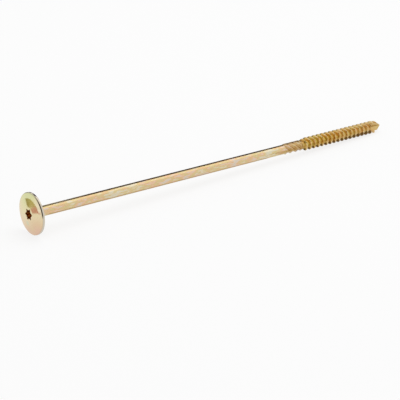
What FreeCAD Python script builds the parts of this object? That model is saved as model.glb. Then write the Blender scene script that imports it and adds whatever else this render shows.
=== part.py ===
"""Construction screw for timber: wafer head, six-lobe drive, milled ribs, coarse thread and cutting point.

One solid, in millimetres. It is drawn upright, with its axis on +Z, the bearing face of the head at z = 0
and the point at the top. lay_down() then puts it on the ground the way it comes to rest, on the rim of the
head and on the last full crest of the thread.

A turn is one full right-hand winding about the axis. Turn 0 faces local +X, which ends up underneath.
"""
import FreeCAD, Part
import math
import os

# Lengths along the screw
screw_length = 260.0  # from the bearing face to the point
thread_length = 67.14  # from where the thread rises to the point
rib_length = 13.8  # milled ribs
rib_to_thread = 0.4  # plain gap from the ribs to the thread

# Head
head_diameter = 24.0
rim_thickness = 1.5
rim_chamfer = 0.2
crown_band_width = 2.9  # steeper outer band of the crown
crown_band_rise = 0.62
crown_rise = 0.86  # from the band to the mouth of the recess
crown_mouth_diameter = 7.4  # flat land around the recess
neck_diameter = 9.6
neck_length = 4.0

# Drive recess, six lobes
lobe_count = 6
drive_over_lobes = 6.75
drive_over_hollows = 4.85
lobe_radius = 0.534
drive_depth = 3.4
drive_bottom_angle = 130.0
drive_direction = 21.0  # where one lobe points, in degrees from turn 0

# Shank and ribs
shank_diameter = 5.8
rib_count = 5
rib_lead = 21.0  # a rib's advance along the screw in one turn
rib_diameter = 6.6
rib_crest_width = 0.5  # these two are measured across the rib
rib_base_width = 2.1
rib_rise = 1.0  # length of the slope at each end of a rib
rib_direction = 31.5  # where the first rib starts, in degrees from turn 0

# Thread
thread_pitch = 3.4
thread_diameter = 8.0
core_diameter = 5.3
thread_base_width = 1.4
thread_rise = 2.4  # the thread grows to full height over this length

# Point
point_angle = 68.0
point_nose_diameter = 0.6

# Cutting notch, ground into the point with a wedge-shaped wheel
notch_length = 12.0
notch_angle = 110.0  # between its two walls
notch_root_offset = 0.1  # from the axis to the root of the groove
notch_runout_angle = 45.0
notch_direction = 262.0  # where the notch faces, in degrees from turn 0

# How the ridges are drawn
root_sink = 0.35  # depth of their roots below the surface that they stand on
patches_per_turn = 4
patch_spans = 4  # spans of the smooth edges of each patch


def turned(outline):
    """Solid turned about Z from (radius, z) corners; the outline starts and ends on the axis."""
    wire = Part.makePolygon([FreeCAD.Vector(r, 0, z) for r, z in outline + outline[:1]])
    return Part.Face(wire).revolve(FreeCAD.Vector(), FreeCAD.Vector(0, 0, 1), 360)


def point_slope():
    """How much the radius of the point grows for each millimetre behind its end."""
    return math.tan(math.radians(point_angle / 2))


def thread_start():
    return screw_length - thread_length


def rib_start():
    return thread_start() - rib_to_thread - rib_length


def blank():
    """Head, neck and plain shank, and from the ribs on the thinner core, up to the thread."""
    rim_radius = head_diameter / 2
    band_radius = rim_radius - crown_band_width
    band_top = -rim_thickness - crown_band_rise
    crown_top = band_top - crown_rise
    return turned([
        (0, crown_top),
        (crown_mouth_diameter / 2, crown_top),
        (band_radius, band_top),
        (rim_radius - rim_chamfer, -rim_thickness),
        (rim_radius, rim_chamfer - rim_thickness),
        (rim_radius, -rim_chamfer),
        (rim_radius - rim_chamfer, 0),
        (neck_diameter / 2, 0),
        (shank_diameter / 2, neck_length),
        (shank_diameter / 2, rib_start()),
        (core_diameter / 2, rib_start() + rib_rise),
        (core_diameter / 2, thread_start()),
        (0, thread_start()),
    ])


def winding(radius, turns, lead, start):
    """Smooth helical edge through evenly spaced turns, rising by the lead in each turn."""
    points = []
    for turn in turns:
        angle = 2 * math.pi * turn
        height = start + lead * turn
        points.append(FreeCAD.Vector(radius * math.cos(angle), radius * math.sin(angle), height))
    curve = Part.BSplineCurve()
    curve.interpolate(Points=points, Parameters=turns)
    return curve.toShape()


def ridge(profile, lead, start, first_turn, last_turn):
    """Closed ridge of constant profile wound about the axis, in short patches.

    The profile lists its corners as (radius, shift along the screw).
    """
    patches = math.ceil((last_turn - first_turn) * patches_per_turn)
    turn_step = (last_turn - first_turn) / patches
    faces = []
    for patch in range(patches):
        begin = first_turn + patch * turn_step
        turns = [begin + turn_step * point / patch_spans for point in range(patch_spans + 1)]
        guides = [winding(radius, turns, lead, start + shift) for radius, shift in profile]
        for guide, following in zip(guides, guides[1:] + guides[:1]):
            faces.append(Part.makeRuledSurface(guide, following))
    for turn in (first_turn, last_turn):
        corners = [FreeCAD.Vector(radius, 0, start + shift + lead * turn) for radius, shift in profile]
        end = Part.Face(Part.makePolygon(corners + corners[:1]))
        end.rotate(FreeCAD.Vector(), FreeCAD.Vector(0, 0, 1), 360 * turn)
        faces.append(end)
    shell = Part.makeShell(faces)
    shell.sewShape()
    solid = Part.makeSolid(shell)
    if solid.Volume < 0:
        solid.reverse()
    return solid


def ridge_profile(surface_radius, crest_radius, base_width, crest_width):
    """Corners of a ridge that stands on a round surface and is rooted a little below it."""
    flank = (base_width - crest_width) / 2 / (crest_radius - surface_radius)
    rooted_width = base_width + 2 * flank * root_sink
    root = surface_radius - root_sink
    crest = [(crest_radius, 0)]
    if crest_width:
        crest = [(crest_radius, -crest_width / 2), (crest_radius, crest_width / 2)]
    return [(root, -rooted_width / 2)] + crest + [(root, rooted_width / 2)]


def threaded_end():
    """Core with its right-hand thread, which a cone at each end fades in and brings to the point."""
    core = core_diameter / 2
    crest = thread_diameter / 2
    start = thread_start()
    nose = point_nose_diameter / 2
    outside = crest + root_sink
    rise_end = start + thread_rise * (outside - core) / (crest - core)
    taper_start = screw_length - (outside - nose) / point_slope()
    envelope = turned([
        (0, start),
        (core, start),
        (outside, rise_end),
        (outside, taper_start),
        (nose, screw_length),
        (0, screw_length),
    ])
    bar = Part.makeCylinder(core, thread_length + 2 * thread_pitch, FreeCAD.Vector(0, 0, start - thread_pitch))
    profile = ridge_profile(core, crest, thread_base_width, 0)
    wound = ridge(profile, thread_pitch, start, -1, math.ceil(thread_length / thread_pitch) + 1)
    return bar.fuse(wound).common(envelope)


def ribbed_section():
    """Steep right-hand ribs with hollows as deep as the core of the thread, sloped at both ends."""
    shank = shank_diameter / 2
    core = core_diameter / 2
    crest = rib_diameter / 2
    outside = crest + root_sink
    start = rib_start()
    end = start + rib_length
    envelope = turned([
        (0, start),
        (shank, start),
        (outside, start + rib_rise * (outside - shank) / (crest - shank)),
        (outside, end - rib_rise * (outside - core) / (crest - core)),
        (core, end),
        (0, end),
    ])
    # a width across the rib is wider when it is measured along the screw
    along = math.hypot(rib_lead, math.pi * rib_diameter) / (math.pi * rib_diameter)
    profile = ridge_profile(core, crest, rib_base_width * along, rib_crest_width * along)
    margin = rib_base_width * along / rib_lead
    wound = ridge(profile, rib_lead, start, -margin, rib_length / rib_lead + margin)
    ribs = []
    for number in range(rib_count):
        rib = wound.copy()
        rib.rotate(FreeCAD.Vector(), FreeCAD.Vector(0, 0, 1), rib_direction + 360 * number / rib_count)
        ribs.append(rib)
    bar = Part.makeCylinder(core, rib_length + 2, FreeCAD.Vector(0, 0, start - 1))
    return bar.fuse(ribs).common(envelope)


def lobe_outline(height):
    """Closed outline of the six-lobe drive: lobes joined by tangent hollows."""
    over = drive_over_lobes / 2
    under = drive_over_hollows / 2
    lobe_centre = over - lobe_radius
    half_step = math.pi / lobe_count
    # a hollow touches both lobes beside it, which fixes its radius
    flat = lobe_centre * math.cos(half_step)
    hollow_radius = (lobe_centre**2 + under**2 - 2 * under * flat - lobe_radius**2) / 2
    hollow_radius /= lobe_radius + flat - under
    hollow_centre = under + hollow_radius

    def polar(radius, angle):
        return FreeCAD.Vector(radius * math.cos(angle), radius * math.sin(angle), height)

    edges = []
    for number in range(lobe_count):
        middle = 2 * half_step * number
        lobe = polar(lobe_centre, middle)
        meets = []
        for side in (-1, 1):
            hollow = polar(hollow_centre, middle + side * half_step)
            toward = hollow.sub(lobe).normalize()
            meets.append(lobe.add(toward.multiply(lobe_radius)))
        edges.append(Part.Arc(meets[0], polar(over, middle), meets[1]).toShape())
        following = polar(lobe_centre, middle + 2 * half_step)
        hollow = polar(hollow_centre, middle + half_step)
        toward = hollow.sub(following).normalize()
        next_meet = following.add(toward.multiply(lobe_radius))
        edges.append(Part.Arc(meets[1], polar(under, middle + half_step), next_meet).toShape())
    return Part.Wire(edges)


def drive_recess():
    """The space of the drive, with the shallow cone that the punch leaves at its bottom."""
    top = -rim_thickness - crown_band_rise - crown_rise
    lobe_bottom = top + drive_depth
    over = drive_over_lobes / 2
    cone = over / math.tan(math.radians(drive_bottom_angle / 2))
    prism = Part.Face(lobe_outline(top - 1)).extrude(FreeCAD.Vector(0, 0, drive_depth + cone + 1))
    # the punch is twice as wide as the lobes, so its cone starts that much nearer the mouth
    punch = turned([
        (0, top - 1),
        (2 * over, top - 1),
        (2 * over, lobe_bottom - cone),
        (0, lobe_bottom + cone),
    ])
    recess = prism.common(punch)
    recess.rotate(FreeCAD.Vector(), FreeCAD.Vector(0, 0, 1), drive_direction)
    return recess


def cutting_notch():
    """The space that the wheel grinds out of the point: a groove with a sloped end."""
    reach = thread_diameter
    half_width = reach * math.tan(math.radians(notch_angle / 2))
    groove_end = screw_length - notch_length
    run_out = (thread_diameter / 2 - notch_root_offset) / math.tan(math.radians(notch_runout_angle))
    outside = reach * math.tan(math.radians(notch_runout_angle))
    sections = []
    for root, height in (
        (notch_root_offset + outside, groove_end + run_out - reach),
        (notch_root_offset, groove_end + run_out),
        (notch_root_offset, screw_length + 1),
    ):
        corners = [(root, 0), (root + reach, half_width), (root + reach, -half_width)]
        points = [FreeCAD.Vector(x, y, height) for x, y in corners + corners[:1]]
        sections.append(Part.makePolygon(points))
    tool = Part.makeLoft(sections, True, True)
    tool.rotate(FreeCAD.Vector(), FreeCAD.Vector(0, 0, 1), notch_direction)
    return tool


def lay_down(solid):
    """Lay the upright screw along +X on the ground and centre it over the origin."""
    full_length = thread_length - (thread_diameter - point_nose_diameter) / 2 / point_slope()
    last_crest = thread_start() + thread_pitch * math.floor(full_length / thread_pitch)
    drop = (head_diameter - thread_diameter) / 2
    tilt = math.degrees(math.atan2(drop, last_crest + rim_chamfer))
    solid.rotate(FreeCAD.Vector(), FreeCAD.Vector(0, 1, 0), 90 + tilt)
    box = solid.optimalBoundingBox(False)
    solid.translate(FreeCAD.Vector(-box.Center.x, -box.Center.y, -box.ZMin))
    return solid


def screw():
    body = blank().cut(drive_recess())
    body = body.fuse([ribbed_section(), threaded_end().cut(cutting_notch())])
    return lay_down(body)


os.makedirs("parts", exist_ok=True)
screw().exportStep("parts/screw.step")
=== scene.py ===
import math

import bpy
from mathutils import Matrix, Vector


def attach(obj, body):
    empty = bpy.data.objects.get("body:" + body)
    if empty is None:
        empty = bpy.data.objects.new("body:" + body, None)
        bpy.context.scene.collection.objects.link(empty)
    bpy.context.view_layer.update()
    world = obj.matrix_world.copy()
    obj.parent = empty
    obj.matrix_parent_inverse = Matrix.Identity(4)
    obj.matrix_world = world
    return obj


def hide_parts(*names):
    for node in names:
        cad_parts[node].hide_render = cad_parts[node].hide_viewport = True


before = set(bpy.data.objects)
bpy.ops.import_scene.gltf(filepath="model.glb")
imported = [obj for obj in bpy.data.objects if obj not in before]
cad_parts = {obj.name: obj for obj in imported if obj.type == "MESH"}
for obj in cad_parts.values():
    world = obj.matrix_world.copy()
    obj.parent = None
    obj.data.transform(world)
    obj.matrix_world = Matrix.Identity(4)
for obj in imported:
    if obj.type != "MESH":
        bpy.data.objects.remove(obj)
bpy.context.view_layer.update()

# Lengths of the screw in millimetres and angles in degrees, as in the CAD part. The screw's own frame has
# its axis along Z, the bearing face of the head at Z = 0 and the point at Z = screw length. As it lies,
# its X points down and its Y away from the camera.
SIZES = {
    "Screw length": 260.0,
    "Head diameter": 24.0,
    "Rim thickness": 1.5,
    "Crown band width": 2.9,
    "Crown band rise": 0.62,
    "Crown rise": 0.86,
    "Crown mouth diameter": 7.4,
    "Neck diameter": 9.6,
    "Neck length": 4.0,
    "Drive depth": 3.4,
    "Drive turn": 21.0,
    "Shank diameter": 5.8,
    "Rib count": 5.0,
    "Rib lead": 21.0,
    "Rib diameter": 6.6,
    "Rib length": 13.8,
    "Rib turn": 31.5,
    "Thread length": 67.14,
    "Thread pitch": 3.4,
    "Thread diameter": 8.0,
    "Core diameter": 5.3,
    "Thread base width": 1.4,
    "Notch turn": 262.0,
    "Notch length": 12.0,
    "Notch angle": 110.0,
}

# How the screw lies in the shared frame: the middle of its bearing face in metres, and the slope of its
# axis down to the point in degrees.
SEAT_CENTRE = (-0.128393, 0.0, 0.01198832)
TILT = 1.80215
MILLIMETRE = 0.001

# The six-lobe recess: how far out the arcs of a lobe and of a hollow have their centres, the radii of the
# arcs, the angle from the middle of a lobe at which they meet, the step from lobe to lobe, the slope of the
# coned bottom and the width of the bevel at the mouth.
LOBE_CENTRE = 2.841
LOBE_RADIUS = 0.534
HOLLOW_CENTRE = 3.945
HOLLOW_RADIUS = 1.52
LOBE_HALF_ANGLE = 9.73
LOBE_STEP = 60.0
BOTTOM_ANGLE = 25.0
MOUTH_BEVEL = 0.12

# The ribs: the plain core between them and the thread, the length over which they rise and fall, and the
# angles from the middle of a rib to its foot and to the edge of its crest.
RIB_TO_THREAD = 0.4
RIB_RISE_LENGTH = 1.0
RIB_FOOT_ANGLE = 25.62
RIB_CREST_ANGLE = 6.1

# The thread, the point and its notch.
THREAD_RUN_IN = 2.4
THREAD_CREST_WIDTH = 0.08
POINT_RADIUS = 0.3
POINT_HALF_ANGLE = 34.0
POINT_NOSE = 0.4
NOTCH_ROOT = 0.1
NOTCH_RUNOUT_ANGLE = 45.0

# The facets: columns round the axis, turns of the threaded end and rows in each turn. Points closer than
# the merge distance are joined.
COLUMNS = 120
COLUMN_STEP = 360.0 / COLUMNS
THREAD_TURNS = 22
ROWS_PER_TURN = 24
MERGE_DISTANCE = 0.0003

# The rows at which the recess's bottom, walls and bevel, the land round it, the shank and the ribs end.
BOTTOM_END = 6
WALL_END = 16
BEVEL_END = 18
LAND_END = 22
SHANK_END = 136
RIBS_END = 186

TO_DEGREES = 180 / math.pi
TO_RADIANS = math.pi / 180


class Net:
    """A node tree that is filled from Python."""

    def __init__(self, tree):
        self.tree = tree

    def add(self, kind, settings=None, sockets=None):
        """Adds a node: its settings are set first, then the values or links of its sockets."""
        node = self.tree.nodes.new(kind)
        for name, value in (settings or {}).items():
            if name == "stops":
                ramp = node.color_ramp
                while len(ramp.elements) < len(value):
                    ramp.elements.new(1.0)
                for element, (position, colour) in zip(ramp.elements, value):
                    element.position = position
                    element.color = (*colour, 1.0)
            else:
                setattr(node, name, value)
        for key, value in (sockets or {}).items():
            self.fill(node.inputs[key], value)
        return node

    def fill(self, socket, value):
        """Links a socket, or gives it a plain value."""
        if isinstance(value, Term):
            value = value.socket
        if isinstance(value, bpy.types.NodeSocket):
            self.tree.links.new(value, socket)
        else:
            socket.default_value = value

    def math(self, operation, *values):
        """One Math node on terms and plain numbers."""
        node = self.add("ShaderNodeMath", {"operation": operation}, dict(enumerate(values)))
        return Term(self, node.outputs[0])

    def term(self, kind, settings=None, sockets=None):
        """Adds a node and wraps its first output."""
        return Term(self, self.add(kind, settings, sockets).outputs[0])

    def ramp(self, value, low, high, start=0.0, end=1.0, smooth=False):
        """Goes from start to end as value goes from low to high, and stays there outside."""
        kind = "SMOOTHSTEP" if smooth else "LINEAR"
        return self.term("ShaderNodeMapRange", {"interpolation_type": kind, "clamp": True},
                         {0: value, 1: low, 2: high, 3: start, 4: end})

    def tint(self, value, stops):
        """The colour at a value between the stops of a colour ramp."""
        return self.add("ShaderNodeValToRGB", {"stops": stops}, {0: value}).outputs[0]

    def mix(self, share, first, second):
        """Mixes two colours, each a plain one or a socket."""
        # A Mix node takes its colours at sockets 6 and 7 and gives the mixed one at output 2.
        node = self.add("ShaderNodeMix", {"data_type": "RGBA", "clamp_result": True}, {0: share})
        for key, colour in ((6, first), (7, second)):
            self.fill(node.inputs[key], (*colour, 1.0) if isinstance(colour, tuple) else colour)
        return node.outputs[2]


class Term:
    """A number in a net. Arithmetic on it adds Math nodes."""

    def __init__(self, net, socket):
        self.net = net
        self.socket = socket

    def __add__(self, other):
        return self.net.math("ADD", self, other)

    def __radd__(self, other):
        return self.net.math("ADD", other, self)

    def __sub__(self, other):
        return self.net.math("SUBTRACT", self, other)

    def __rsub__(self, other):
        return self.net.math("SUBTRACT", other, self)

    def __mul__(self, other):
        return self.net.math("MULTIPLY", self, other)

    def __rmul__(self, other):
        return self.net.math("MULTIPLY", other, self)

    def __truediv__(self, other):
        return self.net.math("DIVIDE", self, other)

    def __rtruediv__(self, other):
        return self.net.math("DIVIDE", other, self)

    def __pow__(self, other):
        return self.net.math("POWER", self, other)

    def __abs__(self):
        return self.net.math("ABSOLUTE", self)

    def low(self, other):
        """The lower of the two."""
        return self.net.math("MINIMUM", self, other)

    def high(self, other):
        """The higher of the two."""
        return self.net.math("MAXIMUM", self, other)

    def cos(self):
        return self.net.math("COSINE", self)

    def sin(self):
        return self.net.math("SINE", self)


def with_places(size):
    """Adds the radii and heights that follow from the named sizes, which are numbers or terms of a net."""
    rim_radius = size["Head diameter"] / 2
    rim_front = 0.0 - size["Rim thickness"]
    band_front = rim_front - size["Crown band rise"]
    thread_start = size["Screw length"] - size["Thread length"]
    rib_start = thread_start - size["Rib length"] - RIB_TO_THREAD
    return {
        **size,
        "Rim radius": rim_radius,
        "Band radius": rim_radius - size["Crown band width"],
        "Mouth radius": size["Crown mouth diameter"] / 2,
        "Neck radius": size["Neck diameter"] / 2,
        "Shank radius": size["Shank diameter"] / 2,
        "Rib radius": size["Rib diameter"] / 2,
        "Core radius": size["Core diameter"] / 2,
        "Crest radius": size["Thread diameter"] / 2,
        "Rim front": rim_front,
        "Band front": band_front,
        "Land height": band_front - size["Crown rise"],
        "Rib start": rib_start,
        "Rib end": rib_start + size["Rib length"],
        "Thread start": thread_start,
    }


PLACES = with_places(SIZES)


def grid(net, columns, rows):
    """A flat grid with its column and row numbers as terms."""
    mesh = net.add("GeometryNodeMeshGrid", None, {
        "Size X": float(columns), "Size Y": float(rows), "Vertices X": columns + 1, "Vertices Y": rows + 1})
    position = net.add("GeometryNodeInputPosition")
    parts = net.add("ShaderNodeSeparateXYZ", None, {0: position.outputs[0]})
    column = Term(net, parts.outputs[0]) + columns / 2
    row = Term(net, parts.outputs[1]) + rows / 2
    return mesh.outputs["Mesh"], column, row


def place(net, mesh, radius, angle, height):
    """Sets each point of a grid from its radius, angle and height."""
    at = net.add("ShaderNodeCombineXYZ", None,
                 {0: radius * angle.cos(), 1: radius * angle.sin(), 2: height})
    moved = net.add("GeometryNodeSetPosition", None, {"Geometry": mesh, "Position": at.outputs[0]})
    return moved.outputs[0]


def along(net, row, stations):
    """The radius and height of the outline at a row, on straight lines from station to station."""
    first = stations[0]
    radius = first[1] + 0.0 * row
    height = first[2] + 0.0 * row
    for (row_a, radius_a, height_a), (row_b, radius_b, height_b) in zip(stations, stations[1:]):
        part = net.ramp(row, row_a, row_b)
        radius = radius + part * (radius_b - radius_a)
        height = height + part * (height_b - height_a)
    return radius, height


def lobe_outline(net, angle, size):
    """The radius of the six-lobe recess at an angle, from its lobe and hollow arcs."""
    half_step = LOBE_STEP / 2
    turn = angle * TO_DEGREES - size["Drive turn"]
    folded = abs(net.math("FLOORED_MODULO", turn + half_step, LOBE_STEP) - half_step) * TO_RADIANS
    aside = (LOBE_CENTRE * folded.sin()) ** 2.0
    lobe = LOBE_CENTRE * folded.cos() + (LOBE_RADIUS ** 2 - aside).high(0.0) ** 0.5
    back = math.radians(half_step) - folded
    aside = (HOLLOW_CENTRE * back.sin()) ** 2.0
    hollow = HOLLOW_CENTRE * back.cos() - (HOLLOW_RADIUS ** 2 - aside).high(0.0) ** 0.5
    in_lobe = net.math("LESS_THAN", folded, math.radians(LOBE_HALF_ANGLE))
    return in_lobe * lobe + (1.0 - in_lobe) * hollow


def head_stations(size):
    """The outline from the land round the recess to the last rib, as rows, radii and heights."""
    rim = size["Rim radius"]
    front = size["Rim front"]
    mouth = size["Mouth radius"]
    land = size["Land height"]
    neck = size["Neck radius"]
    neck_length = size["Neck length"]
    shank = size["Shank radius"]
    core = size["Core radius"]
    return [
        # The land and the two cones of the crown.
        (BEVEL_END, mouth - 0.6, land), (LAND_END, mouth, land),
        (34, size["Band radius"], size["Band front"]),
        # The rim, with its front and rear edges rounded.
        (40, rim - 0.45, front - 0.06), (42, rim - 0.21, front + 0.03),
        (44, rim - 0.06, front + 0.19), (46, rim, front + 0.42),
        (50, rim, -0.3), (52, rim - 0.1, -0.09), (54, rim - 0.3, 0.0),
        # The bearing face and the neck.
        (64, neck + 0.3, 0.0), (66, neck, 0.12), (78, shank + 0.05, neck_length - 0.2),
        # The shank, and the core on which the ribs stand.
        (80, shank, neck_length + 0.3), (SHANK_END, shank, size["Rib start"]),
        (142, core, size["Rib start"] + RIB_RISE_LENGTH), (RIBS_END, core, size["Rib end"]),
    ]


def head_angle(net, size, column, row, height):
    """The columns turn by a little along the shank and then with the ribs."""
    rib_start = size["Rib start"]
    twist = net.ramp(height, 12.0, rib_start, 0.0, 1.5)
    twist = twist + (height - rib_start).high(0.0) * (360.0 / size["Rib lead"])
    # On the last row they fall back to whole steps, where they meet the columns of the threaded end.
    last = net.ramp(row, RIBS_END - 1, RIBS_END)
    loose = net.math("FLOORED_MODULO", twist, COLUMN_STEP)
    twist = twist - last * loose
    return (column * COLUMN_STEP + twist) * TO_RADIANS


def with_recess(net, size, row, angle, radius, height):
    """Gives the first rows to the recess: its coned bottom, its walls and the small bevel at its mouth."""
    land = size["Land height"]
    outline = lobe_outline(net, angle, size)
    cone = math.tan(math.radians(BOTTOM_ANGLE))
    bottom = land + size["Drive depth"] + (LOBE_CENTRE + LOBE_RADIUS - outline) * cone
    in_bottom = net.ramp(row, 0, BOTTOM_END)
    in_wall = net.ramp(row, BOTTOM_END, WALL_END)
    in_bevel = net.ramp(row, WALL_END, BEVEL_END)
    in_land = net.ramp(row, BEVEL_END, LAND_END)
    recess_radius = in_bottom * outline + in_bevel * MOUTH_BEVEL
    recess_radius = recess_radius + in_land * (size["Mouth radius"] - outline - MOUTH_BEVEL)
    recess_height = bottom + (1.0 - in_bottom) * outline * cone
    recess_height = recess_height + in_wall * (land + MOUTH_BEVEL - bottom) - in_bevel * MOUTH_BEVEL
    in_recess = net.math("LESS_THAN", row, BEVEL_END + 0.5)
    flat = net.math("LESS_THAN", row, LAND_END)
    radius = flat * recess_radius + (1.0 - flat) * radius
    height = in_recess * recess_height + (1.0 - in_recess) * height
    return radius, height


def with_ribs(net, size, row, angle, radius, height):
    """Raises the milled ribs above the shank, with hollows between them that lie below it."""
    start = size["Rib start"]
    end = size["Rib end"]
    core = size["Core radius"]
    crest = size["Rib radius"]
    sector = 360.0 / size["Rib count"]
    off = angle * TO_DEGREES - size["Rib turn"] - (height - start) * (360.0 / size["Rib lead"])
    off = abs(net.math("FLOORED_MODULO", off + sector / 2, sector) - sector / 2)
    rib = net.ramp(off, RIB_FOOT_ANGLE, RIB_CREST_ANGLE, core, crest)
    rib = rib.low(net.ramp(height, start, start + RIB_RISE_LENGTH, size["Shank radius"], crest))
    rib = rib.low(net.ramp(height, end, end - RIB_RISE_LENGTH, core, crest))
    in_ribs = net.math("GREATER_THAN", row, SHANK_END - 0.5)
    return radius + in_ribs * (rib - radius).high(0.0)


def head_and_shank(net, size):
    """From the bottom of the recess to the end of the ribs: crown, rim, neck, shank and milled ribs."""
    mesh, column, row = grid(net, COLUMNS, RIBS_END)
    radius, height = along(net, row, head_stations(size))
    angle = head_angle(net, size, column, row, height)
    radius, height = with_recess(net, size, row, angle, radius, height)
    radius = with_ribs(net, size, row, angle, radius, height)
    return place(net, mesh, radius, angle, height)


def wound(net, column, row):
    """A point's turn round the axis and along the thread, and how far off the crest it is in pitches."""
    # Within a turn the rows crowd at the crest and on the flanks, in these shares of the pitch, and from the
    # turn with this number they go over to the even steps of the point.
    crest_end = 1 / ROWS_PER_TURN
    flank_end = 7 / ROWS_PER_TURN
    crest_share = 0.015
    flank_share = 0.195
    core_share = 0.29
    even_from = 18.0
    share = row / ROWS_PER_TURN
    part = net.math("FRACT", share + 0.5) - 0.5
    side = net.math("SIGN", part)
    near = abs(part)
    warped = net.ramp(near, 0.0, crest_end, 0.0, crest_share)
    warped = warped + net.ramp(near, crest_end, flank_end, 0.0, flank_share)
    warped = warped + net.ramp(near, flank_end, 0.5, 0.0, core_share)
    around = column / COLUMNS
    even = net.ramp(share + around, even_from, even_from + 1.0)
    shift = side * (warped - near) * (1.0 - even)
    return around, around + share + shift, part + shift


def notch_radius(net, size, angle, height):
    """How far out the notch leaves metal: it has two flat walls and a root that runs out to the crest."""
    off = angle - size["Notch turn"] * TO_RADIANS
    wall = net.math("TANGENT", size["Notch angle"] * (math.pi / 360))
    open_side = (off.cos() - abs(off.sin()) / wall).high(0.0001)
    runout = math.tan(math.radians(NOTCH_RUNOUT_ANGLE))
    groove_end = size["Screw length"] - size["Notch length"] + (size["Crest radius"] - NOTCH_ROOT) / runout
    root = NOTCH_ROOT + (groove_end - height).high(0.0) * runout
    return root / open_side


def threaded_end(net, size):
    """The thread on its core, from the end of the ribs to the point, with the cutting notch."""
    mesh, column, row = grid(net, COLUMNS, THREAD_TURNS * ROWS_PER_TURN)
    start = size["Thread start"]
    end = size["Screw length"]
    pitch = size["Thread pitch"]
    core = size["Core radius"]
    around, turns, off = wound(net, column, row)

    # The rows start two turns early and go on past the point. Those beyond an end of the screw lie together
    # at that end.
    free = start - 2 * pitch + pitch * turns
    height = free.high(start - RIB_TO_THREAD).low(end)
    angle = around * (2 * math.pi)

    # The thread falls from its crest to the core on both sides. The cone of the point and the notch cut it.
    flank = net.ramp(abs(off * pitch), size["Thread base width"] / 2, THREAD_CREST_WIDTH / 2)
    run_in = net.ramp(height, start, start + THREAD_RUN_IN)
    radius = core + flank.low(run_in) * (size["Crest radius"] - core)
    radius = radius.low(POINT_RADIUS + (end - height) * math.tan(math.radians(POINT_HALF_ANGLE)))
    radius = radius.low(notch_radius(net, size, angle, height))
    nose = net.ramp(free, end, end + POINT_NOSE, 1.0, 0.0)
    return place(net, mesh, radius * nose, angle, height)


def screw_tree(material):
    """The node tree that makes the whole screw from its named sizes."""
    tree = bpy.data.node_groups.new("screw_rule", "GeometryNodeTree")
    net = Net(tree)
    for name in SIZES:
        tree.interface.new_socket(name, in_out="INPUT", socket_type="NodeSocketFloat")
    tree.interface.new_socket("Geometry", in_out="OUTPUT", socket_type="NodeSocketGeometry")
    inputs = net.add("NodeGroupInput")
    size = with_places({name: Term(net, inputs.outputs[name]) for name in SIZES})
    joined = net.add("GeometryNodeJoinGeometry")
    for mesh in (head_and_shank(net, size), threaded_end(net, size)):
        tree.links.new(mesh, joined.inputs[0])
    closed = net.add("GeometryNodeMergeByDistance", None,
                     {"Geometry": joined.outputs[0], "Distance": MERGE_DISTANCE})

    # Faces are shaded smooth, apart from edges that bend by more than 32 degrees.
    bend = net.add("GeometryNodeInputMeshEdgeAngle")
    sharp = net.math("GREATER_THAN", Term(net, bend.outputs[0]), math.radians(32))
    smooth = net.add("GeometryNodeSetShadeSmooth", {"domain": "FACE"},
                     {"Geometry": closed.outputs[0], "Shade Smooth": True})
    edged = net.add("GeometryNodeSetShadeSmooth", {"domain": "EDGE"},
                    {"Geometry": smooth.outputs[0], "Selection": sharp, "Shade Smooth": False})
    laid = net.add("GeometryNodeTransform", None, {
        "Geometry": edged.outputs[0], "Translation": SEAT_CENTRE,
        "Rotation": (0.0, math.radians(90 + TILT), 0.0), "Scale": (MILLIMETRE, MILLIMETRE, MILLIMETRE)})
    real = net.add("GeometryNodeRealizeInstances", None, {0: laid.outputs[0]})
    dressed = net.add("GeometryNodeSetMaterial", None, {"Geometry": real.outputs[0], "Material": material})
    output = net.add("NodeGroupOutput")
    tree.links.new(dressed.outputs[0], output.inputs["Geometry"])
    return tree


def make_screw(material):
    """Runs the screw's rule once and keeps the result as a plain mesh."""
    holder = bpy.data.objects.new("screw_holder", bpy.data.meshes.new("screw_holder"))
    bpy.context.scene.collection.objects.link(holder)
    modifier = holder.modifiers.new("rule", "NODES")
    modifier.node_group = screw_tree(material)
    for item in modifier.node_group.interface.items_tree:
        if item.in_out == "INPUT":
            modifier[item.identifier] = SIZES[item.name]
    graph = bpy.context.evaluated_depsgraph_get()
    mesh = bpy.data.meshes.new_from_object(holder.evaluated_get(graph), depsgraph=graph)
    holder.modifiers.clear()
    bpy.data.objects.remove(holder)
    mesh.name = "yellow_zinc_screw"
    piece = bpy.data.objects.new("yellow_zinc_screw", mesh)
    bpy.context.scene.collection.objects.link(piece)
    return piece


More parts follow.
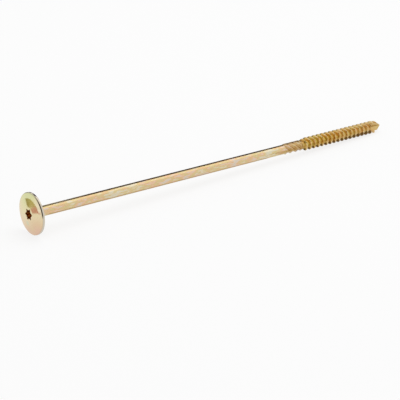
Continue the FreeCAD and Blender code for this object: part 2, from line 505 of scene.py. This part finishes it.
class OnScrew:
    """Where a point of the surface lies on the screw, in millimetres, for a finish that follows it."""

    def __init__(self, net):
        self.net = net
        self.point = net.add("ShaderNodeTexCoord").outputs["Object"]
        parts = net.add("ShaderNodeSeparateXYZ", None, {0: self.scaled((1000.0, 1000.0, 1000.0))})
        self.x, self.y, self.z = (Term(net, output) for output in parts.outputs[:3])
        self.radius = (self.x * self.x + self.y * self.y) ** 0.5

    def scaled(self, scale):
        """Object coordinates in the screw's own frame, in metres times the scale along each axis."""
        moved = self.net.add("ShaderNodeVectorMath", {"operation": "SUBTRACT"},
                             {0: self.point, 1: SEAT_CENTRE})
        turned = self.net.add("ShaderNodeVectorRotate", {"rotation_type": "Y_AXIS"},
                              {"Vector": moved.outputs[0], "Angle": -math.radians(90 + TILT)})
        sized = self.net.add("ShaderNodeVectorMath", {"operation": "MULTIPLY"},
                             {0: turned.outputs[0], 1: scale})
        return sized.outputs[0]

    def noise(self, scale, detail=2.0, rough=0.5, offset=0.0):
        """A noise with its own scale along each axis. The offset picks another part of the pattern."""
        moved = self.net.add("ShaderNodeVectorMath", {"operation": "ADD"},
                             {0: self.scaled(scale), 1: (offset, offset, offset)})
        return self.net.term("ShaderNodeTexNoise", {"noise_dimensions": "3D"}, {
            "Vector": moved.outputs[0], "Scale": 1.0, "Detail": detail, "Roughness": rough})


def shank_colour(net, at):
    """The film's thickness drifts along the screw and a little around it, and streaks run lengthwise."""
    drift = at.noise((230.0, 230.0, 95.0), 2.5, 0.55)
    streak = at.noise((900.0, 900.0, 190.0), 2.0, 0.5, 7.0)
    film = (drift * 0.5 + streak * 0.5 - 0.5) * 4.6 + 0.5
    return net.tint(film, [
        (0.0, (0.66, 0.58, 0.47)), (0.2, (0.76, 0.53, 0.38)), (0.36, (0.72, 0.47, 0.24)),
        (0.5, (0.69, 0.52, 0.30)), (0.64, (0.62, 0.53, 0.24)), (0.8, (0.73, 0.58, 0.38)),
        (1.0, (0.68, 0.63, 0.47))])


def head_colour(net, at):
    """Pale green at the top of the face to peach at its bottom, partly the film's own tint and partly a
    painted reflection, with a green spot below the recess.
    """
    face = at.noise((70.0, 70.0, 70.0), 2.0, 0.5, 3.0)
    # The noise is the film's own drift; the change from the top of the face to its bottom and out to its
    # sides is a painted reflection.
    film = (face - 0.5) * 0.7 + 0.5 + at.x * 0.03 + at.y * at.y * 0.0014
    colour = net.tint(film, [
        (0.0, (0.64, 0.67, 0.36)), (0.25, (0.71, 0.70, 0.38)), (0.42, (0.77, 0.68, 0.40)),
        (0.6, (0.77, 0.64, 0.41)), (0.8, (0.75, 0.56, 0.36)), (1.0, (0.76, 0.50, 0.38))])
    from_spot = ((at.x - 5.6) ** 2.0 + (at.y - 1.6) ** 2.0) ** 0.5 + (face - 0.5) * 3.0
    colour = net.mix(net.ramp(from_spot, 1.9, 0.9, 0.0, 0.75, True), colour, (0.60, 0.63, 0.44))
    # The outer band is painted creamy at the upper right, a painted highlight.
    band_highlight = net.ramp(at.y, -3.5, -8.0) * net.ramp(at.x, -1.5, -5.0) * net.ramp(at.radius, 8.6, 9.3)
    return net.mix(band_highlight * 0.8, colour, (0.84, 0.74, 0.55))


def thread_colour(net, at):
    """Deep gold that gets paler towards the point, with a painted highlight on the crests that is stronger
    on some crests than on others.
    """
    winding = (at.noise((240.0, 240.0, 190.0), 2.5, 0.6, 13.0) - 0.5) * 2.2 + 0.5
    flank = net.tint(winding, [
        (0.0, (0.42, 0.23, 0.03)), (0.25, (0.54, 0.285, 0.045)), (0.45, (0.57, 0.36, 0.08)),
        (0.6, (0.50, 0.37, 0.07)), (0.78, (0.64, 0.41, 0.13)), (1.0, (0.70, 0.42, 0.21))])
    paler = net.ramp(at.z, SIZES["Screw length"] - 45.0, SIZES["Screw length"] - 4.0, 0.0, 0.5)
    flank = net.mix(paler, flank, (0.68, 0.49, 0.27))
    # The crests are painted paler, a painted highlight, in patches along the thread.
    crest = net.ramp(at.radius, PLACES["Core radius"] + 0.45, PLACES["Crest radius"] - 0.15)
    crest_highlight_share = net.ramp(at.noise((300.0, 300.0, 260.0), 2.0, 0.5, 41.0), 0.35, 0.6, 0.3, 1.0)
    return net.mix(crest * crest_highlight_share, flank, (0.84, 0.65, 0.38))


def painted_shade_and_rim_side(net, at, on_ribs, colour):
    """Adds the painted dark reflection along the top of the ribs, the greyer side of the rim, and the
    painted dark reflection and painted shade on the edges of the rim.
    """
    thread_start = PLACES["Thread start"]
    rim = PLACES["Rim radius"]
    front = PLACES["Rim front"]

    # The milled ribs are painted dark brown along their upper side, a painted dark reflection.
    on_top = net.ramp(at.x, -1.5, -2.2) * net.ramp(at.y, -1.0, -0.2) * net.ramp(at.y, 3.0, 2.4)
    rib_top_reflection = on_ribs * net.ramp(at.z, thread_start + 0.14, thread_start - 0.86) * on_top
    colour = net.mix(rib_top_reflection * 0.6, colour, (0.18, 0.11, 0.05))

    # The side of the rim is greyer than the face, and its front edge is painted dark, most at the upper
    # right, as a painted dark reflection.
    on_side = net.ramp(at.radius, rim - 0.4, rim - 0.1) * net.ramp(at.z, front, front + 0.3)
    colour = net.mix(on_side, colour, (0.62, 0.56, 0.46))
    front_edge = net.ramp(at.radius, rim - 0.55, rim - 0.4) * net.ramp(at.z, front + 0.55, front + 0.4)
    upper_right_share = net.ramp(at.y, -3.0, -8.0, 0.25, 0.9) * net.ramp(at.x, -2.8, -0.8, 1.0, 0.1)
    colour = net.mix(front_edge * upper_right_share, colour, (0.07, 0.05, 0.03))

    # Its rear edge is painted dark at the lower right, a painted shade.
    rear_edge = net.ramp(at.radius, rim - 0.4, rim - 0.2) * net.ramp(at.z, -0.5, -0.35)
    lower_right = net.ramp(at.x, 4.0, 7.0) * net.ramp(at.y, -2.0, -4.0)
    return net.mix(rear_edge * lower_right * 0.9, colour, (0.08, 0.08, 0.08))


def yellow_zinc():
    """Zinc with a yellow passivation, whose thin film drifts between gold, peach, pale green and grey."""
    material = bpy.data.materials.new("yellow_zinc")
    material.use_nodes = True
    material.node_tree.nodes.clear()
    net = Net(material.node_tree)
    at = OnScrew(net)

    on_head = net.ramp(at.z, 0.3, -0.1)
    in_recess = on_head * net.ramp(at.radius, PLACES["Mouth radius"] - 0.2, PLACES["Mouth radius"] - 0.4)
    in_recess = in_recess * net.ramp(at.z, PLACES["Land height"] + 0.03, PLACES["Land height"] + 0.28)
    on_ribs = net.ramp(at.z, PLACES["Rib start"] - 0.66, PLACES["Rib start"] + 0.54)
    on_thread = net.ramp(at.z, PLACES["Thread start"] - 0.86, PLACES["Thread start"] + 1.64)

    plain = shank_colour(net, at)
    # The ribs have their own brown tint, and the hollows between them are painted darker still, a painted
    # shade.
    hollow = net.ramp(at.radius, PLACES["Core radius"] + 0.45, PLACES["Core radius"] + 0.1)
    milled = net.mix(0.35 + hollow * 0.5, plain, (0.50, 0.31, 0.11))
    colour = net.mix(on_ribs, plain, milled)
    colour = net.mix(on_thread, colour, thread_colour(net, at))
    colour = net.mix(on_head, colour, head_colour(net, at))
    # The recess is painted dark brown, a painted shade.
    colour = net.mix(in_recess, colour, (0.50, 0.22, 0.06))
    colour = painted_shade_and_rim_side(net, at, on_ribs, colour)

    # Fine specks of the crystalline zinc, a duller film where it is thick, and drawing marks on the shank.
    specks = at.noise((5200.0, 5200.0, 3000.0), 1.0, 0.5, 21.0)
    dull = net.ramp(at.noise((420.0, 420.0, 120.0), 3.0, 0.6, 5.0), 0.42, 0.7)
    roughness = 0.17 - on_head * 0.09 + dull * (0.12 - on_head * 0.09) + specks * 0.04 + in_recess * 0.2
    draw_marks = at.noise((3400.0, 3400.0, 45.0), 2.0, 0.5, 31.0)
    height = (draw_marks * 0.6 + specks * 0.4) * (1.0 - on_head * 0.9)
    bump = net.add("ShaderNodeBump", None, {"Strength": 0.08, "Distance": 0.0002, "Height": height})
    shader = net.add("ShaderNodeBsdfPrincipled", None, {
        "Metallic": 1.0, "Base Color": colour, "Roughness": roughness, "Normal": bump.outputs[0]})
    net.add("ShaderNodeOutputMaterial", None, {"Surface": shader.outputs[0]})
    return material


def seen(net):
    """Is 1 for what the camera sees, also in a reflection, and 0 for the light that falls on things."""
    ray = net.add("ShaderNodeLightPath")
    camera, glossy, through = (Term(net, ray.outputs[name]) for name in
                               ("Is Camera Ray", "Is Glossy Ray", "Is Transmission Ray"))
    return (camera + glossy + through).low(1.0)


def make_floor():
    """A sheet of white paper that keeps a part of its own shade, and with it the shadow of the screw."""
    reach = 3
    mesh = bpy.data.meshes.new("floor")
    mesh.from_pydata([(-reach, -reach, 0), (reach, -reach, 0), (reach, reach, 0), (-reach, reach, 0)], [],
                     [(0, 1, 2, 3)])
    floor = bpy.data.objects.new("floor", mesh)
    bpy.context.scene.collection.objects.link(floor)
    paper = bpy.data.materials.new("paper")
    paper.use_nodes = True
    paper.node_tree.nodes.clear()
    net = Net(paper.node_tree)
    matt = net.add("ShaderNodeBsdfDiffuse", None, {"Color": (0.9, 0.9, 0.9, 1)})
    glow = net.add("ShaderNodeEmission", None, {"Color": (1, 1, 1, 1), "Strength": 1.0})
    mix = net.add("ShaderNodeMixShader", None, {0: seen(net) * 0.8, 1: matt.outputs[0], 2: glow.outputs[0]})
    net.add("ShaderNodeOutputMaterial", None, {"Surface": mix.outputs[0]})
    mesh.materials.append(paper)
    return floor


def make_world():
    """White where it is seen, and softer where it lights the scene."""
    world = bpy.data.worlds.new("studio")
    bpy.context.scene.world = world
    world.use_nodes = True
    world.node_tree.nodes.clear()
    net = Net(world.node_tree)
    soft = net.add("ShaderNodeBackground", None, {"Color": (1, 1, 1, 1), "Strength": 0.72})
    white = net.add("ShaderNodeBackground", None, {"Color": (1, 1, 1, 1), "Strength": 1.0})
    mix = net.add("ShaderNodeMixShader", None, {0: seen(net), 1: soft.outputs[0], 2: white.outputs[0]})
    net.add("ShaderNodeOutputWorld", None, {"Surface": mix.outputs[0]})


def make_lamp(height):
    """The soft lamp overhead. The metal doesn't reflect it, but the lamp card that stands for it."""
    data = bpy.data.lights.new("overhead", "AREA")
    data.shape = "RECTANGLE"
    data.size = 1.2
    data.size_y = 0.8
    data.energy = 4.5
    lamp = bpy.data.objects.new("overhead", data)
    bpy.context.scene.collection.objects.link(lamp)
    lamp.location = (0.35, 0.0, height)
    lamp.rotation_euler = (-lamp.location).to_track_quat("-Z", "Y").to_euler()
    lamp.visible_glossy = False


def make_card(name, corners, shade):
    """A flat card of one even shade that only the metal sees, in its reflections."""
    mesh = bpy.data.meshes.new(name)
    mesh.from_pydata(corners, [], [tuple(range(len(corners)))])
    card = bpy.data.objects.new(name, mesh)
    bpy.context.scene.collection.objects.link(card)
    finish = bpy.data.materials.new(name)
    finish.use_nodes = True
    finish.node_tree.nodes.clear()
    net = Net(finish.node_tree)
    glow = net.add("ShaderNodeEmission", None, {"Color": (*shade, 1), "Strength": 1.0})
    net.add("ShaderNodeOutputMaterial", None, {"Surface": glow.outputs[0]})
    mesh.materials.append(finish)
    card.visible_camera = False
    card.visible_diffuse = False
    card.visible_shadow = False
    card.visible_transmission = False
    return card


def hanging_card(name, corners, height, shade):
    """A level card at a height, with its corners in metres."""
    return make_card(name, [(x, y, height) for x, y in corners], shade)


def floor_card(name, corners, shade, lift=0.0005):
    """A card just above the floor, with its corners in millimetres."""
    return make_card(name, [(x / 1000, y / 1000, lift) for x, y in corners], shade)


def make_cards(lamp_height):
    """What the metal reflects: the lamp, dark walls round the screw, and cards on the floor for painted
    reflections and a painted shadow.
    """
    wall = 0.5
    return [
        # The lamp, and a dimmer card beside it over the head.
        hanging_card("lamp_card", [(0.2, -0.5), (1.4, -0.5), (1.4, 0.75), (0.2, 0.6)], lamp_height,
                     (1.3, 1.27, 1.22)),
        hanging_card("top_card", [(-0.4, -0.3), (0.0, -0.3), (0.0, 0.3), (-0.4, 0.3)], lamp_height,
                     (0.25, 0.2, 0.16)),
        # A wall behind, which gives the dark line along the top of the shank.
        make_card("back_card", [(0.1, wall, 0.0), (1.1, wall, 0.0), (1.1, wall, 0.8), (0.3, wall, 1.04),
                                (0.21, wall, 0.2), (0.1, wall, 0.2)], (0.045, 0.03, 0.015)),
        # Dark walls on the left, one behind the head and one in front of it.
        make_card("left_card", [(-0.286, 0.46, 0.0), (0.0, 0.59, 0.0), (0.0, 0.59, 0.195),
                                (-0.286, 0.46, 0.195)], (0.15, 0.13, 0.1)),
        make_card("front_card", [(-0.531, -0.01, 0.0), (-0.3, -0.373, 0.0), (-0.3, -0.373, 0.36),
                                 (-0.531, -0.01, 0.36)], (0.03, 0.03, 0.03)),
        # Cards under the shank and the thread, a painted shadow of the screw on the floor as the metal
        # reflects it, and a dark one on the floor behind.
        floor_card("shank_card", [(-115, -5), (40, -3), (40, 12), (-115, 12)], (0.66, 0.57, 0.46), 0.0002),
        floor_card("thread_card", [(62, 0), (122, -4), (122, 12), (62, 12)], (0.2, 0.15, 0.1), 0.0002),
        floor_card("behind_card", [(-100, 20), (150, 13), (400, 380), (160, 400)],
                   (0.12, 0.1, 0.08), 0.0002),
        # Painted reflections: the olive and pink sectors on the face of the head.
        floor_card("olive_card", [(-166.5, 65), (-167.5, 82), (-188, 90), (-185, 60)], (0.42, 0.34, 0.12)),
        floor_card("pale_olive_card", [(-185, 60), (-188, 90), (-214, 102), (-207, 40), (-196, 42)],
                   (0.56, 0.48, 0.22)),
        floor_card("pink_card", [(-190, 60), (-167, 25), (-178, 16), (-194, 42)],
                   (0.66, 0.37, 0.34), 0.0004),
        # A pale gold card in front of the thread, a painted reflection in the thread and the ribs.
        floor_card("gold_card", [(48, -2), (105, -4), (120, -45), (62, -45)], (0.75, 0.68, 0.52), 0.0001),
    ]


def set_stage():
    """The floor, the world, the lamp and the cards that the metal reflects."""
    lamp_height = 1.1
    floor = make_floor()
    make_world()
    make_lamp(lamp_height)
    cards = make_cards(lamp_height)


def set_camera():
    """The camera at the photograph's viewing angle."""
    data = bpy.data.cameras.new("camera")
    data.sensor_width = 36.0
    data.lens = 139.4
    data.clip_start = 0.01
    camera = bpy.data.objects.new("camera", data)
    bpy.context.scene.collection.objects.link(camera)
    camera.location = (-0.530497, -0.660521, 0.348995)
    right = Vector((0.78801, -0.61565, 0.00156)).normalized()
    up = Vector((0.24127, 0.31116, 0.91922)).normalized()
    camera.rotation_euler = Matrix((right, up, right.cross(up))).transposed().to_euler()
    bpy.context.scene.camera = camera


bpy.context.scene.view_settings.view_transform = "Standard"
set_camera()
set_stage()
zinc = yellow_zinc()
screw = make_screw(zinc)
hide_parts("screw")
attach(screw, "root")
